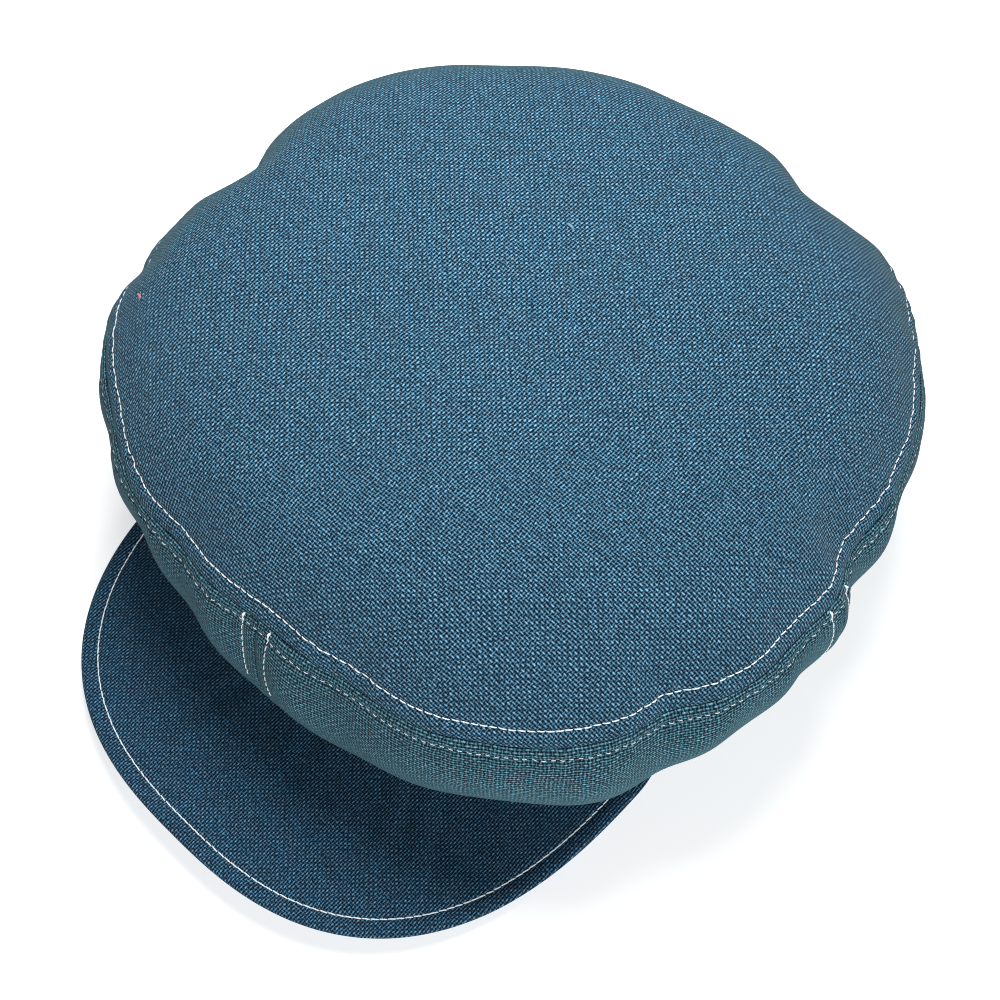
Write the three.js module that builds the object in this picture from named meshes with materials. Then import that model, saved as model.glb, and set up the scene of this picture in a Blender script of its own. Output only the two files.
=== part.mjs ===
// A roomy peaked crown cap sewn from woven cloth: a big round top, four side panels, a headband
// and a stiffened peak.
// Millimetres, +Z up, the peak points to -Y. The cap stands on its headband and the sides of its peak.
import * as THREE from "three";

// Driving dimensions
const CLOTH = 1.8; // wall of the cloth with its backing
const SEW_GAP = 0.34; // clearance left along every seam
const BAND = { halfWidth: 88.5, halfDepth: 103.5, height: 36, wall: 2.4 }; // outside of the headband
const CROWN = { x: -15.5, y: 9, radius: 141.5, centreHeight: 112, rimHeight: 87.5, dome: 4, edge: 8 };
const SAG = { at: 222, drop: 27, pull: 9, spread: 1.5 }; // the slack far side hangs lower and closer in
const RIM_LIFT = { at: -58, half: 22, rise: 6 }; // the rim stands higher beside the peak
const SIDE = { bulge: 26, bulgeSwing: 3, bulgeAt: 35, under: 32, underDrop: 17, bandLevel: 34 };
const PEAK = { halfWidth: 106.4, length: 122.3, start: 60.6, power: 2.55, wall: 3, attach: 66, corner: 74 };
const PEAK_BOW_SHARE = 0.86; // of the way from the peak's middle to its end, taken up by the front bow
const PEAK_LIE = { level: 6.9, rise: 0.05, droop: 5.2 };
const PEAK_CREASE = { x: 71, y: -119.5, heading: 80, halfLength: 22, halfWidth: 8, depth: 1.6 };
const TOP_RIPPLE = { waves: 3, at: 40, height: 4 };

// Where the side panels are sewn together, in degrees from the front towards +X
const PANEL_SEAMS = [3.4, 90.5, 181, 272];

// Soft dents round the rim, each running up into the top: place and half width in degrees, the rest
// in millimetres, with inward below zero where the rim swells out
const RIM_DENTS = [
  { at: -14, half: 7, inward: 5.0, valley: 2.0, reach: 34 },
  { at: 4, half: 14, inward: 10.0, valley: 0.0, reach: 60 },
  { at: 20, half: 7, inward: 4.5, valley: 0.6, reach: 40 },
  { at: 48, half: 9, inward: -2.2, valley: 0.0, reach: 40 },
  { at: 62, half: 4.5, inward: 3.6, valley: 2.4, reach: 34 },
  { at: 84, half: 7, inward: 4.0, valley: 1.5, reach: 40 },
  { at: 98, half: 7, inward: 8.0, valley: 3.0, reach: 46 },
  { at: 110, half: 12, inward: 4.2, valley: 0.0, reach: 50 },
  { at: 146, half: 10, inward: -3.8, valley: 0.0, reach: 40 },
  { at: 164, half: 7, inward: 6.0, valley: 3.0, reach: 34 },
  { at: -178, half: 6, inward: 3.5, valley: 1.2, reach: 24 },
  { at: -172, half: 14, inward: 2.0, valley: 0.0, reach: 40 },
  { at: -168, half: 5, inward: 3.5, valley: 1.8, reach: 26 },
  { at: -135, half: 7, inward: 1.6, valley: 1.6, reach: 30 },
  { at: -113, half: 24, inward: -5.2, valley: 0.0, reach: 60 },
  { at: -84, half: 7, inward: 7.0, valley: 3.2, reach: 34 },
  { at: -61, half: 4, inward: 2.5, valley: 1.2, reach: 20 },
  { at: -53, half: 14, inward: -5.8, valley: 0.0, reach: 60 },
];

// Slack creases of the side panels under the rim: place and half width in degrees, depth in
// millimetres, below zero where the side swells out
const SIDE_CREASES = [
  { at: -62, half: 10, depth: -4.0 },
  { at: -20, half: 12, depth: 3.4 },
  { at: 54, half: 9, depth: -3.5 },
  { at: 78, half: 7, depth: 2.0 },
  { at: 110, half: 13, depth: 4.4 },
  { at: 152, half: 8, depth: 3.0 },
  { at: -160, half: 9, depth: 3.4 },
  { at: -120, half: 9, depth: 3.2 },
];

// How finely each piece is divided
const STEPS = { turn: 80, side: 9, peakAcross: 30, peakOut: 6 };
const TOP_RINGS = [0.22, 0.44, 0.62, 0.76, 0.86, 0.92, 0.96, 1]; // shares of the way out to the rim

const rad = THREE.MathUtils.degToRad;
const smooth = THREE.MathUtils.smoothstep;
const heading = (degrees) => new THREE.Vector3(Math.sin(rad(degrees)), -Math.cos(rad(degrees)), 0);

// 1 at the middle of a fold, falling to 0 on both sides of it
function foldShare(degrees, fold) {
  const away = THREE.MathUtils.euclideanModulo(degrees - fold.at + 180, 360) - 180;
  return Math.exp(-((away / fold.half) ** 2));
}

const sagShare = (degrees) => ((1 + Math.cos(rad(degrees - SAG.at))) / 2) ** SAG.spread;

// The crown's top: share runs from 0 in the middle to 1 at the rim seam
function topPoint(degrees, share) {
  const slack = sagShare(degrees);
  let radius = share * (CROWN.radius - SAG.pull * slack * share);
  const lift = RIM_LIFT.rise * foldShare(degrees, RIM_LIFT);
  const fall = CROWN.centreHeight - CROWN.rimHeight + SAG.drop * slack - lift;
  let height = CROWN.centreHeight - CROWN.dome * share ** 2 - (fall - CROWN.dome) * share ** CROWN.edge;
  for (const dent of RIM_DENTS) {
    const near = foldShare(degrees, dent) * smooth(share, 1 - dent.reach / CROWN.radius, 1);
    radius -= dent.inward * near;
    height -= dent.valley * near;
  }
  const wave = Math.sin(rad(TOP_RIPPLE.waves * degrees + TOP_RIPPLE.at));
  const ripple = TOP_RIPPLE.height * wave * share * (1 - share);
  const point = heading(degrees).multiplyScalar(radius);
  return point.add(new THREE.Vector3(CROWN.x, CROWN.y, height + ripple));
}

const STEP = 1e-3; // small change used for slopes
const slope = (f, t) => f(t + STEP).sub(f(t - STEP)).normalize();

// The side panels: share runs from 0 at the rim seam to 1 at the headband
function sidePoint(degrees, share) {
  const rim = topPoint(degrees, 1);
  const down = rim.clone().sub(topPoint(degrees, 1 - STEP)).normalize();
  const bulge = SIDE.bulge + SIDE.bulgeSwing * Math.cos(rad(degrees - SIDE.bulgeAt));
  const out = heading(degrees);
  const band = new THREE.Vector3(
    (BAND.halfWidth + SEW_GAP) * out.x,
    (BAND.halfDepth + SEW_GAP) * out.y,
    SIDE.bandLevel,
  );
  const under = band.clone().addScaledVector(out, SIDE.under);
  under.z -= SIDE.underDrop;
  const curve = new THREE.CubicBezierCurve3(rim, rim.clone().addScaledVector(down, bulge), under, band);
  const point = curve.getPoint(share);
  const belly = Math.sin(Math.PI * THREE.MathUtils.clamp(share, 0, 1)) ** 2;
  for (const crease of SIDE_CREASES) {
    point.addScaledVector(out, -crease.depth * foldShare(degrees, crease) * belly);
  }
  return point;
}

// The peak's middle surface: across runs from -1 to 1 along the headband, out from 0 there to 1
// at the peak's edge
function peakPoint(across, out) {
  const turn = heading(PEAK.attach * across);
  const inner = new THREE.Vector2((BAND.halfWidth + SEW_GAP) * turn.x, (BAND.halfDepth + SEW_GAP) * turn.y);
  const edge = peakEdge(across);
  const at = inner.lerp(edge, out);
  const ahead = Math.max(0, -at.y - PEAK.start);
  const side = at.x / PEAK.halfWidth;
  const height = PEAK_LIE.level + PEAK_LIE.rise * ahead - PEAK_LIE.droop * side ** 2 - peakCrease(at);
  return new THREE.Vector3(at.x, at.y, height);
}

// Depth of the one soft crease in the peak, beside its middle
function peakCrease(at) {
  const way = heading(PEAK_CREASE.heading);
  const [x, y] = [at.x - PEAK_CREASE.x, at.y - PEAK_CREASE.y];
  const along = (x * way.x + y * way.y) / PEAK_CREASE.halfLength;
  const off = (x * way.y - y * way.x) / PEAK_CREASE.halfWidth;
  return PEAK_CREASE.depth * Math.exp(-(along ** 2) - off ** 2);
}

// The peak's outline seen from above: a wide rounded bow in front, and small rounded corners
// back to the headband
function peakEdge(across) {
  const side = Math.sign(across);
  const along = Math.abs(across);
  if (along <= PEAK_BOW_SHARE) {
    const t = (Math.PI / 2) * (1 - along / PEAK_BOW_SHARE);
    return new THREE.Vector2(
      side * PEAK.halfWidth * Math.cos(t) ** (2 / PEAK.power),
      -PEAK.start - PEAK.length * Math.sin(t) ** (2 / PEAK.power),
    );
  }
  const back = heading(PEAK.corner);
  const end = new THREE.Vector2(BAND.halfWidth * back.x + SEW_GAP, BAND.halfDepth * back.y);
  const t = (Math.PI / 2) * ((along - PEAK_BOW_SHARE) / (1 - PEAK_BOW_SHARE));
  return new THREE.Vector2(
    side * (end.x + (PEAK.halfWidth - end.x) * Math.cos(t)),
    -PEAK.start + (end.y + PEAK.start) * Math.sin(t),
  );
}

// A closed wall between an outer skin and the same skin set back by the wall's thickness, along its
// own normal or along a given way. skin(u, v) gives a point, us and vs are the places where it is
// read, and a round wall closes on itself along u.
function wall({ skin, us, vs, thickness, round = false, inwards = 1, way = null }) {
  const points = [];
  for (const layer of [0, thickness]) {
    for (const v of vs) {
      for (const u of us) {
        const alongU = slope((t) => skin(t, v), u);
        const alongV = slope((t) => skin(u, t), v);
        const normal = way ?? alongU.cross(alongV).normalize().multiplyScalar(inwards);
        points.push(skin(u, v).addScaledVector(normal, -layer));
      }
    }
  }
  const nu = us.length;
  const nv = vs.length;
  const id = (layer, j, i) => layer * nu * nv + j * nu + (round ? i % nu : i);
  const faces = [];
  const quad = (a, b, c, d) => faces.push(a, b, c, a, c, d);
  const lastU = round ? nu : nu - 1;
  for (let j = 0; j < nv - 1; j++) {
    for (let i = 0; i < lastU; i++) {
      quad(id(0, j, i), id(0, j, i + 1), id(0, j + 1, i + 1), id(0, j + 1, i));
      quad(id(1, j, i), id(1, j + 1, i), id(1, j + 1, i + 1), id(1, j, i + 1));
    }
  }
  for (let i = 0; i < lastU; i++) {
    quad(id(0, 0, i), id(1, 0, i), id(1, 0, i + 1), id(0, 0, i + 1));
    quad(id(0, nv - 1, i), id(0, nv - 1, i + 1), id(1, nv - 1, i + 1), id(1, nv - 1, i));
  }
  if (!round) {
    for (let j = 0; j < nv - 1; j++) {
      quad(id(0, j, 0), id(0, j + 1, 0), id(1, j + 1, 0), id(1, j, 0));
      quad(id(0, j, nu - 1), id(1, j, nu - 1), id(1, j + 1, nu - 1), id(0, j + 1, nu - 1));
    }
  }
  return closedGeometry(points, inwards > 0 ? faces : faces.reverse());
}

function closedGeometry(points, faces) {
  const geometry = new THREE.BufferGeometry().setFromPoints(points);
  geometry.setIndex(faces);
  geometry.computeVertexNormals();
  return geometry;
}

const spread = (from, to, count) =>
  Array.from({ length: count + 1 }, (_, i) => THREE.MathUtils.lerp(from, to, i / count));

// The round top: a domed disc of cloth
function topGeometry() {
  const turns = spread(0, 360, STEPS.turn).slice(0, -1);
  const rimShare = 1 - SEW_GAP / 2 / CROWN.radius;
  const rings = TOP_RINGS.map((share) => share * rimShare);
  const points = [topPoint(0, 0)];
  const lower = [topPoint(0, 0).setZ(CROWN.centreHeight - CLOTH)];
  for (const share of rings) {
    for (const turn of turns) {
      const around = slope((t) => topPoint(t, share), turn);
      const outward = slope((t) => topPoint(turn, t), share);
      const normal = outward.cross(around).normalize();
      points.push(topPoint(turn, share));
      lower.push(topPoint(turn, share).addScaledVector(normal, -CLOTH));
    }
  }
  const count = points.length;
  const n = turns.length;
  const id = (layer, ring, i) => layer * count + 1 + ring * n + (i % n);
  const faces = [];
  for (let i = 0; i < n; i++) {
    faces.push(0, id(0, 0, i), id(0, 0, i + 1), count, id(1, 0, i + 1), id(1, 0, i));
    for (let ring = 0; ring < rings.length - 1; ring++) {
      const [a, b, c, d] = [id(0, ring, i), id(0, ring + 1, i), id(0, ring + 1, i + 1), id(0, ring, i + 1)];
      faces.push(a, b, c, a, c, d);
      const [e, f, g, h] = [a, b, c, d].map((k) => k + count);
      faces.push(e, g, f, e, h, g);
    }
    const [p, q] = [id(0, rings.length - 1, i), id(0, rings.length - 1, i + 1)];
    faces.push(p, p + count, q + count, p, q + count, q);
  }
  return closedGeometry([...points, ...lower], faces);
}

// One side panel, between two panel seams, from the rim seam down and in to the headband
function sideGeometry(from, to) {
  const inset = THREE.MathUtils.radToDeg(SEW_GAP / 2 / BAND.halfWidth);
  const count = Math.round(((to - from) * STEPS.turn) / 360);
  const start = SEW_GAP / 2 / (3 * SIDE.bulge); // the curve sets off at three times its first handle
  return wall({
    skin: sidePoint,
    us: spread(from + inset, to - inset, count),
    vs: spread(start, 1, STEPS.side),
    thickness: CLOTH,
    inwards: -1,
  });
}

function bandGeometry() {
  return wall({
    skin: (u, v) => {
      const out = heading(u);
      return new THREE.Vector3(BAND.halfWidth * out.x, BAND.halfDepth * out.y, v);
    },
    us: spread(0, 360, STEPS.turn).slice(0, -1),
    vs: [0, BAND.height],
    thickness: BAND.wall,
    round: true,
  });
}

function peakGeometry() {
  return wall({
    skin: (u, v) => peakPoint(u, v).setZ(peakPoint(u, v).z + PEAK.wall / 2),
    us: spread(-1, 1, STEPS.peakAcross),
    vs: spread(0, 1, STEPS.peakOut),
    thickness: PEAK.wall,
    inwards: -1,
    way: new THREE.Vector3(0, 0, 1),
  });
}

function cloth(color) {
  return new THREE.MeshStandardMaterial({ color, roughness: 0.9, metalness: 0, side: THREE.DoubleSide });
}

function piece(name, geometry, material) {
  const mesh = new THREE.Mesh(geometry, material);
  mesh.name = name;
  return mesh;
}

const cap = new THREE.Group();
cap.add(piece("crown_top", topGeometry(), cloth(0x496d87)));
PANEL_SEAMS.forEach((seam, i) => {
  const next = PANEL_SEAMS[i + 1] ?? PANEL_SEAMS[0] + 360;
  cap.add(piece(`side_panel_${i + 1}`, sideGeometry(seam, next), cloth(0x43667c)));
});
cap.add(piece("headband", bandGeometry(), cloth(0x3f6278)));
cap.add(piece("peak", peakGeometry(), cloth(0x2d5069)));

// The origin is under the middle of the cap's box, on the surface that it stands on
const box = new THREE.Box3().setFromObject(cap);
const middle = box.getCenter(new THREE.Vector3());
cap.position.set(-middle.x, -middle.y, -box.min.z);

const part = new THREE.Group();
part.add(cap);

export default part;
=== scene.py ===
# A roomy peaked crown cap of coarse woven cloth: a puffy round top, gathered side panels, an oval
# headband and a stiffened peak, topstitched in off-white thread. Shapes are worked out in millimetres
# in the cap's own frame, with the headband's middle at x = y = 0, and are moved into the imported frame.
import math

import bpy
import numpy as np
from mathutils import Matrix, Vector
from mathutils.bvhtree import BVHTree


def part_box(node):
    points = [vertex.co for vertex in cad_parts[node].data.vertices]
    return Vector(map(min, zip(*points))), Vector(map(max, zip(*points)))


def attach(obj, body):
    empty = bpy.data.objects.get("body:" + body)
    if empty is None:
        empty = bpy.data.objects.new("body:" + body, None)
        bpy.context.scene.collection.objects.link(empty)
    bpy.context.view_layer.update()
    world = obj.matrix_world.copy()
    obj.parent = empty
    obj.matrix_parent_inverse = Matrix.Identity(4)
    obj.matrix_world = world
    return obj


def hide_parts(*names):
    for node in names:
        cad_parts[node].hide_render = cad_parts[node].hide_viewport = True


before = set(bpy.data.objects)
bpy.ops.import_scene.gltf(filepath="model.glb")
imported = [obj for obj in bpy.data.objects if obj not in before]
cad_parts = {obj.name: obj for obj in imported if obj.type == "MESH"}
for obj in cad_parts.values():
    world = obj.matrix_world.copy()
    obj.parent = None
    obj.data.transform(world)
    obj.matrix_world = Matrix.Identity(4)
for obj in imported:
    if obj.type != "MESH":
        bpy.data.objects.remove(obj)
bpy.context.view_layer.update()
MM = 0.001
band_low, band_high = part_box("headband")
OFFSET = np.array([(band_low[0] + band_high[0]) / 2, (band_low[1] + band_high[1]) / 2, band_low[2]]) / MM

# Driving dimensions, as in the part's source
CLOTH = 1.8
SEW_GAP = 0.34
BAND_HALF_WIDTH, BAND_HALF_DEPTH, BAND_HEIGHT, BAND_WALL = 88.5, 103.5, 36.0, 2.4
CROWN_X, CROWN_Y, CROWN_RADIUS = -15.5, 9.0, 141.5
CENTRE_HEIGHT, RIM_HEIGHT, DOME, EDGE_POWER = 112.0, 87.5, 4.0, 8
SAG_AT, SAG_DROP, SAG_PULL, SAG_SPREAD = 222.0, 27.0, 9.0, 1.5
LIFT_AT, LIFT_HALF, LIFT_RISE = -58.0, 22.0, 6.0
BULGE, BULGE_SWING, BULGE_AT = 26.0, 3.0, 35.0
UNDER, UNDER_DROP, BAND_LEVEL = 32.0, 17.0, 34.0
PEAK_HALF_WIDTH, PEAK_LENGTH, PEAK_START, PEAK_POWER = 106.4, 122.3, 60.6, 2.55
PEAK_WALL, PEAK_ATTACH, PEAK_CORNER, PEAK_BOW_SHARE = 3.0, 66.0, 74.0, 0.86
PEAK_LEVEL, PEAK_RISE, PEAK_DROOP = 6.9, 0.05, 5.2
CREASE = {"x": 71.0, "y": -119.5, "heading": 80.0, "half_length": 22.0, "half_width": 8.0, "depth": 1.6}
RIPPLE_WAVES, RIPPLE_AT, RIPPLE_HEIGHT = 3, 40.0, 4.0
PANEL_SEAMS = (3.4, 90.5, 181.0, 272.0)

# Soft dents round the rim: place, half width (degrees), inward, valley and reach (mm), with inward
# below zero where the rim swells out
RIM_DENTS = (
    (-14, 7, 5.0, 2.0, 34),
    (4, 14, 10.0, 0.0, 60),
    (20, 7, 4.5, 0.6, 40),
    (48, 9, -2.2, 0.0, 40),
    (62, 4.5, 3.6, 2.4, 34),
    (84, 7, 4.0, 1.5, 40),
    (98, 7, 8.0, 3.0, 46),
    (110, 12, 4.2, 0.0, 50),
    (146, 10, -3.8, 0.0, 40),
    (164, 7, 6.0, 3.0, 34),
    (-178, 6, 3.5, 1.2, 24),
    (-172, 14, 2.0, 0.0, 40),
    (-168, 5, 3.5, 1.8, 26),
    (-135, 7, 1.6, 1.6, 30),
    (-113, 24, -5.2, 0.0, 60),
    (-84, 7, 7.0, 3.2, 34),
    (-61, 4, 2.5, 1.2, 20),
    (-53, 14, -5.8, 0.0, 60),
)

# Slack creases of the side panels: place and half width (degrees), depth (mm), below zero where the
# side swells out
SIDE_CREASES = (
    (-62, 10, -4.0),
    (-20, 12, 3.4),
    (54, 9, -3.5),
    (78, 7, 2.0),
    (110, 13, 4.4),
    (152, 8, 3.0),
    (-160, 9, 3.4),
    (-120, 9, 3.2),
)

# Sewing: distances of the stitch rows from their seams, and the stitches themselves, in mm
TOP_ROW = 6.0
SIDE_ROW = 4.6
PANEL_ROW = 5.6
PEAK_ROW = 6.2
STITCH_PITCH = 2.9
STITCH_LENGTH = 2.95
THREAD_RADIUS = 0.235
YARN_PITCH = 1.14
PEAK_YARN_PITCH = 1.02
CRIMP = 0.3

# A fleck of lint near the rim and a thick spot in one yarn: degrees, and how far in
LINT_AT, LINT_INSET = -52.75, 19.5
SLUB_AT, SLUB_PART = -164.25, 0.28

# Stitches that differ from those of the top, and how a stitch rises from the cloth and thins out
SIDE_STITCH = {"length": 1.9, "radius": 0.17}
PANEL_STITCH = {"length": 2.8, "radius": 0.19}
FIRST_STITCHES = {"pitch": 6.0, "length": 4.4, "radius": 0.24}
KNOT = {"pitch": 4.0, "length": 1.4, "radius": 0.42}
PEAK_STITCH_LENGTH = 3.3
PANEL_ROW_FROM, PANEL_ROW_TO = 0.6, 34
STITCH_LIFT, STITCH_DIP = 1.15, 1.8
STITCH_THICKNESS, STITCH_TAPER, STITCH_END = 1.02, 0.4, 0.4
THREAD_FLATNESS = 0.85

# Ridges and hollows beside the seams: height, distance from the seam or the edge, and width, in mm
TOP_BANDS = ((-0.22, 0.0, 0.6), (0.42, 3.2, 1.9), (-0.5, TOP_ROW, 0.75), (0.22, TOP_ROW + 2.6, 2.0))
SIDE_BANDS = ((-0.22, 0.0, 0.6), (0.34, 2.4, 1.5), (-0.45, SIDE_ROW, 0.75))
PANEL_BANDS = ((-0.35, 0.0, 0.7), (0.25, 2.6, 1.6), (-0.3, PANEL_ROW, 0.75))
PEAK_BANDS = ((0.3, 3.0, 1.8), (-0.55, PEAK_ROW, 0.7))

# Uneven puckers and slack, in the same three measures, and the broad swells of the cloth
TOP_PUCKER, TOP_SLACK = (0.17, TOP_ROW - 1, 4.0), (0.35, TOP_ROW + 6, 9.0)
SIDE_PUCKER, SIDE_SLACK = (0.2, SIDE_ROW + 1, 5.0), (0.7, 18, 14.0)
TOP_SWELL, TOP_SWELL_FROM, TOP_SWELL_FULL = 0.5, 4, 60
PEAK_SWELL, PEAK_SWELL_FROM, PEAK_SWELL_FULL = 0.12, 2, 12
GATHERS, GATHERS_FROM, GATHERS_FULL = 1.3, 0.55, 0.97
PANEL_SEAM_FROM, PANEL_SEAM_FULL = 1.0, 5.0
BAND_ROW, BAND_ROW_DEPTH, BAND_ROW_WIDTH = 3.2, 0.25, 0.7

# How finely the cloth is divided, the gap between two panels, and the length of cloth in a degree
TOP_STEP, TOP_INNER_ROWS, INNER_START = 0.6, 40, 25.3
PANEL_COLUMNS, PANEL_LOWER_ROWS, SEAM_SLIT = 96, 36, 0.08
BAND_STEP, BAND_ROWS = 0.75, 14
PEAK_COLUMNS, PEAK_INNER_ROWS, PEAK_INNER_INSET = 330, 34, 40.0
SIDE_PER_DEGREE, BAND_PER_DEGREE = 2.3, 1.68
EPSILON = 1e-3


def heading(degrees):
    """Unit vector on the ground, in degrees from the front towards +X."""
    angle = np.radians(degrees)
    return np.stack([np.sin(angle), -np.cos(angle)], axis=-1)


def smooth(value, low, high):
    t = np.clip((value - low) / (high - low), 0, 1)
    return t * t * (3 - 2 * t)


def fold_share(degrees, at, half):
    """1 at the middle of a fold, falling to 0 on both sides of it."""
    away = np.mod(degrees - at + 180, 360) - 180
    return np.exp(-((away / half) ** 2))


def hump(value, middle, width):
    return np.exp(-(((value - middle) / width) ** 2))


def bands(distance, rows):
    """Summed height of ridges and hollows that run along a seam."""
    total = 0.0
    for height, middle, width in rows:
        total = total + height * hump(distance, middle, width)
    return total


def uneven(wave, distance, place):
    """A wave that rises and fades at a distance from the seam."""
    height, middle, width = place
    return height * wave * hump(distance, middle, width)


def top_point(degrees, share):
    """The crown's top: share runs from 0 in the middle to 1 at the rim seam."""
    degrees, share = np.broadcast_arrays(np.asarray(degrees, float), np.asarray(share, float))
    slack = ((1 + np.cos(np.radians(degrees - SAG_AT))) / 2) ** SAG_SPREAD
    radius = share * (CROWN_RADIUS - SAG_PULL * slack * share)
    lift = LIFT_RISE * fold_share(degrees, LIFT_AT, LIFT_HALF)
    fall = CENTRE_HEIGHT - RIM_HEIGHT + SAG_DROP * slack - lift
    height = CENTRE_HEIGHT - DOME * share**2 - (fall - DOME) * share**EDGE_POWER
    for at, half, inward, valley, reach in RIM_DENTS:
        near = fold_share(degrees, at, half) * smooth(share, 1 - reach / CROWN_RADIUS, 1)
        radius = radius - inward * near
        height = height - valley * near
    wave = np.sin(np.radians(RIPPLE_WAVES * degrees + RIPPLE_AT))
    height = height + RIPPLE_HEIGHT * wave * share * (1 - share)
    way = heading(degrees)
    return np.stack([CROWN_X + radius * way[..., 0], CROWN_Y + radius * way[..., 1], height], axis=-1)


def side_point(degrees, share):
    """The side panels: share runs from 0 at the rim seam to 1 at the headband."""
    degrees, share = np.broadcast_arrays(np.asarray(degrees, float), np.asarray(share, float))
    rim = top_point(degrees, 1.0)
    down = rim - top_point(degrees, 1.0 - EPSILON)
    down = down / np.linalg.norm(down, axis=-1, keepdims=True)
    bulge = BULGE + BULGE_SWING * np.cos(np.radians(degrees - BULGE_AT))
    way = heading(degrees)
    out = np.concatenate([way, np.zeros(way.shape[:-1] + (1,))], axis=-1)
    level = np.full(degrees.shape, BAND_LEVEL)
    wide = (BAND_HALF_WIDTH + SEW_GAP) * way[..., 0]
    deep = (BAND_HALF_DEPTH + SEW_GAP) * way[..., 1]
    band = np.stack([wide, deep, level], axis=-1)
    under = band + UNDER * out - np.array([0, 0, UNDER_DROP])
    handle = rim + down * bulge[..., None]
    t = share[..., None]
    point = (1 - t) ** 3 * rim + 3 * (1 - t) ** 2 * t * handle + 3 * (1 - t) * t**2 * under + t**3 * band
    belly = np.sin(np.pi * np.clip(share, 0, 1)) ** 2
    for at, half, depth in SIDE_CREASES:
        point = point - out * (depth * fold_share(degrees, at, half) * belly)[..., None]
    return point


def peak_edge(across):
    """The peak's outline from above: a wide bow in front and small rounded corners at the headband."""
    side = np.sign(across)
    along = np.abs(across)
    t = np.clip(np.pi / 2 * (1 - along / PEAK_BOW_SHARE), 0, np.pi / 2)
    bow_x = PEAK_HALF_WIDTH * np.abs(np.cos(t)) ** (2 / PEAK_POWER)
    bow_y = -PEAK_START - PEAK_LENGTH * np.abs(np.sin(t)) ** (2 / PEAK_POWER)
    back = heading(PEAK_CORNER)
    end_x = BAND_HALF_WIDTH * back[0] + SEW_GAP
    end_y = BAND_HALF_DEPTH * back[1]
    t = np.clip(np.pi / 2 * (along - PEAK_BOW_SHARE) / (1 - PEAK_BOW_SHARE), 0, np.pi / 2)
    corner_x = end_x + (PEAK_HALF_WIDTH - end_x) * np.cos(t)
    corner_y = -PEAK_START + (end_y + PEAK_START) * np.sin(t)
    in_bow = along <= PEAK_BOW_SHARE
    return side * np.where(in_bow, bow_x, corner_x), np.where(in_bow, bow_y, corner_y)


def peak_crease(x, y):
    way = heading(CREASE["heading"])
    away_x, away_y = x - CREASE["x"], y - CREASE["y"]
    along = (away_x * way[0] + away_y * way[1]) / CREASE["half_length"]
    off = (away_x * way[1] - away_y * way[0]) / CREASE["half_width"]
    return CREASE["depth"] * np.exp(-(along**2) - off**2)


def peak_point(across, out):
    """The peak's middle surface, from 0 at the headband out to 1 at its edge."""
    across, out = np.broadcast_arrays(np.asarray(across, float), np.asarray(out, float))
    turn = heading(PEAK_ATTACH * across)
    edge_x, edge_y = peak_edge(across)
    x = (BAND_HALF_WIDTH + SEW_GAP) * turn[..., 0] * (1 - out) + edge_x * out
    y = (BAND_HALF_DEPTH + SEW_GAP) * turn[..., 1] * (1 - out) + edge_y * out
    ahead = np.maximum(0, -y - PEAK_START)
    height = PEAK_LEVEL + PEAK_RISE * ahead - PEAK_DROOP * (x / PEAK_HALF_WIDTH) ** 2 - peak_crease(x, y)
    return np.stack([x, y, height], axis=-1)


def ripples(phase_seed, count, low, high):
    """Sums of sines with seeded waves: a smooth, uneven ripple of about unit height."""
    draw = np.random.default_rng(phase_seed)
    waves = draw.uniform(low, high, count)
    phases = draw.uniform(0, 2 * np.pi, count)

    def ripple(x):
        x = np.asarray(x, float)[..., None]
        return np.sin(2 * np.pi * waves * x + phases).sum(-1) / math.sqrt(count / 2)

    return ripple


def whole_ripples(phase_seed, count, low, high):
    """As ripples, over degrees, with whole waves in a turn so that the ends meet."""
    draw = np.random.default_rng(phase_seed)
    waves = draw.integers(low, high, count)
    phases = draw.uniform(0, 2 * np.pi, count)

    def ripple(degrees):
        angle = np.radians(np.asarray(degrees, float))[..., None]
        return np.sin(waves * angle + phases).sum(-1) / math.sqrt(count / 2)

    return ripple


rim_pucker = whole_ripples(11, 7, 70, 150)
rim_slack = whole_ripples(12, 6, 18, 44)
side_pucker = whole_ripples(13, 7, 60, 140)
side_slack = whole_ripples(14, 6, 12, 34)
gather_wave = whole_ripples(15, 6, 26, 60)
top_swell = whole_ripples(16, 5, 3, 11)


def unit(vectors):
    return vectors / np.maximum(np.linalg.norm(vectors, axis=-1, keepdims=True), 1e-12)


def slopes(surface, u, v, step_u, step_v):
    """Both directions along a surface at (u, v), by small steps."""
    along_u = surface(u + step_u, v) - surface(u - step_u, v)
    along_v = surface(u, v + step_v) - surface(u, v - step_v)
    return along_u, along_v


def share_at(surface, degrees, distance, start, way):
    """The share where a column of the surface has run the distance from its rim seam."""
    steps = start + way * np.linspace(0, 0.42, 240)
    points = surface(degrees[:, None], steps[None, :])
    run = np.linalg.norm(np.diff(points, axis=1), axis=-1).cumsum(1)
    run = np.concatenate([np.zeros((len(degrees), 1)), run], axis=1)
    return np.array([np.interp(d, r, steps) for d, r in zip(distance, run)])


def top_relief(degrees, distance):
    """Height of the sewn relief on the top, by distance inward from the rim seam."""
    pucker = uneven(rim_pucker(degrees), distance, TOP_PUCKER)
    slack = uneven(rim_slack(degrees), distance, TOP_SLACK)
    swell = TOP_SWELL * top_swell(degrees) * smooth(distance, TOP_SWELL_FROM, TOP_SWELL_FULL)
    return bands(distance, TOP_BANDS) + pucker + slack + swell


def top_skin(degrees, distance):
    """Points and normals of the finished top, by distance in mm inward from the rim seam."""
    degrees, distance = np.broadcast_arrays(np.asarray(degrees, float), np.asarray(distance, float))
    share = share_at(top_point, degrees, distance, 1.0, -1.0)
    return lifted(top_point, degrees, share, top_relief(degrees, distance))


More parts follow.
